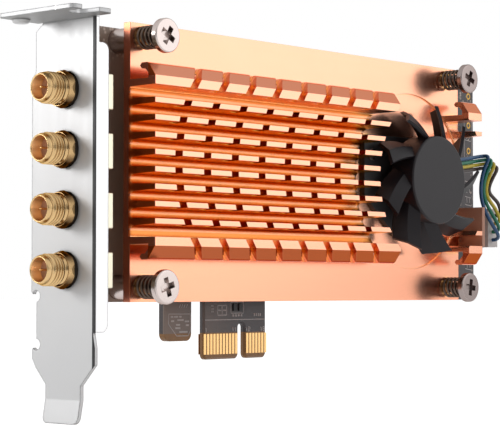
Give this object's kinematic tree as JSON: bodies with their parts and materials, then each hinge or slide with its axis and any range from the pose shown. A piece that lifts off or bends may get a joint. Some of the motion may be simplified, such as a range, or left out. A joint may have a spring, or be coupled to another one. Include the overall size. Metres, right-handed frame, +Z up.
{
  "type": "wireless network card",
  "caption": "Low-profile expansion card with a folded bracket, threaded antenna jacks, a finned copper-coloured heat sink and a small fan with its lead.",
  "frame": {"origin": "on the bracket's outer face, level with the board's component face and with the tips of the edge contacts", "axes": "+X along the card away from the bracket, -Y out of the component side, +Z up from the edge contacts to the flange"},
  "size_m": [0.1575, 0.0229, 0.0803],
  "materials": {
    "base_plastic": "matt moulding",
    "bearing_bronze": "sintered",
    "board_black": "black solder mask over glass fibre, satin",
    "bracket_steel": "bright plated sheet",
    "ceramic_tan": "ceramic",
    "chip_black": "moulded epoxy",
    "contact_gold": "gold plated",
    "copper_anodised": "satin copper-coloured anodising",
    "core_steel": "laminated",
    "fan_plastic": "fine matt moulding",
    "guard_grey": "satin",
    "insulator_white": "fluoropolymer",
    "jack_gold": "gold plated, polished",
    "magnet_grey": "bonded ferrite",
    "pad_grey": "soft filled pad",
    "pin_gold": "gold plated",
    "plug_white": "moulded nylon",
    "screw_nickel": "nickel plated",
    "shaft_steel": "ground",
    "shield_steel": "tinned can",
    "spacer_nickel": "tinned",
    "spring_steel": "spring wire",
    "wire_blue": "soft insulation",
    "wire_brown": "soft insulation",
    "wire_green": "soft insulation",
    "wire_yellow": "soft insulation"
  },
  "bodies": {
    "card": {"bracket": "bracket_steel", "bridge_chip": "chip_black", "capacitors": "ceramic_tan", "crystal": "shield_steel", "edge_contacts": "contact_gold", "end_plate": "guard_grey", "fan_base": "base_plastic", "fan_bearing": "bearing_bronze", "fan_header": "plug_white", "fan_plug": "plug_white", "fan_screws": "shaft_steel", "fan_wire_1": "wire_blue", "fan_wire_2": "wire_green", "fan_wire_3": "wire_yellow", "fan_wire_4": "wire_brown", "header_pins": "spacer_nickel", "heat_sink": "copper_anodised", "inductors": "chip_black", "jack_body_1": "jack_gold", "jack_body_2": "jack_gold", "jack_body_3": "jack_gold", "jack_body_4": "jack_gold", "jack_contact_1": "pin_gold", "jack_contact_2": "pin_gold", "jack_contact_3": "pin_gold", "jack_contact_4": "pin_gold", "jack_insulator_1": "insulator_white", "jack_insulator_2": "insulator_white", "jack_insulator_3": "insulator_white", "jack_insulator_4": "insulator_white", "jack_nuts": "jack_gold", "jack_washers": "jack_gold", "main_pcb": "board_black", "radio_module_1": "shield_steel", "radio_module_2": "shield_steel", "spring_screws": "screw_nickel", "springs": "spring_steel", "standoffs": "spacer_nickel", "stator_core": "core_steel", "thermal_pads": "pad_grey"},
    "rotor": {"fan_rotor": "fan_plastic", "rotor_magnet": "magnet_grey", "rotor_shaft": "shaft_steel"}
  },
  "joints": [
    {"name": "fan_spin", "type": "hinge", "parent": "card", "child": "rotor", "pos_m": [0.1105, -0.0124, 0.04072], "axis": [0, -1, 0], "continuous": true}
  ]
}
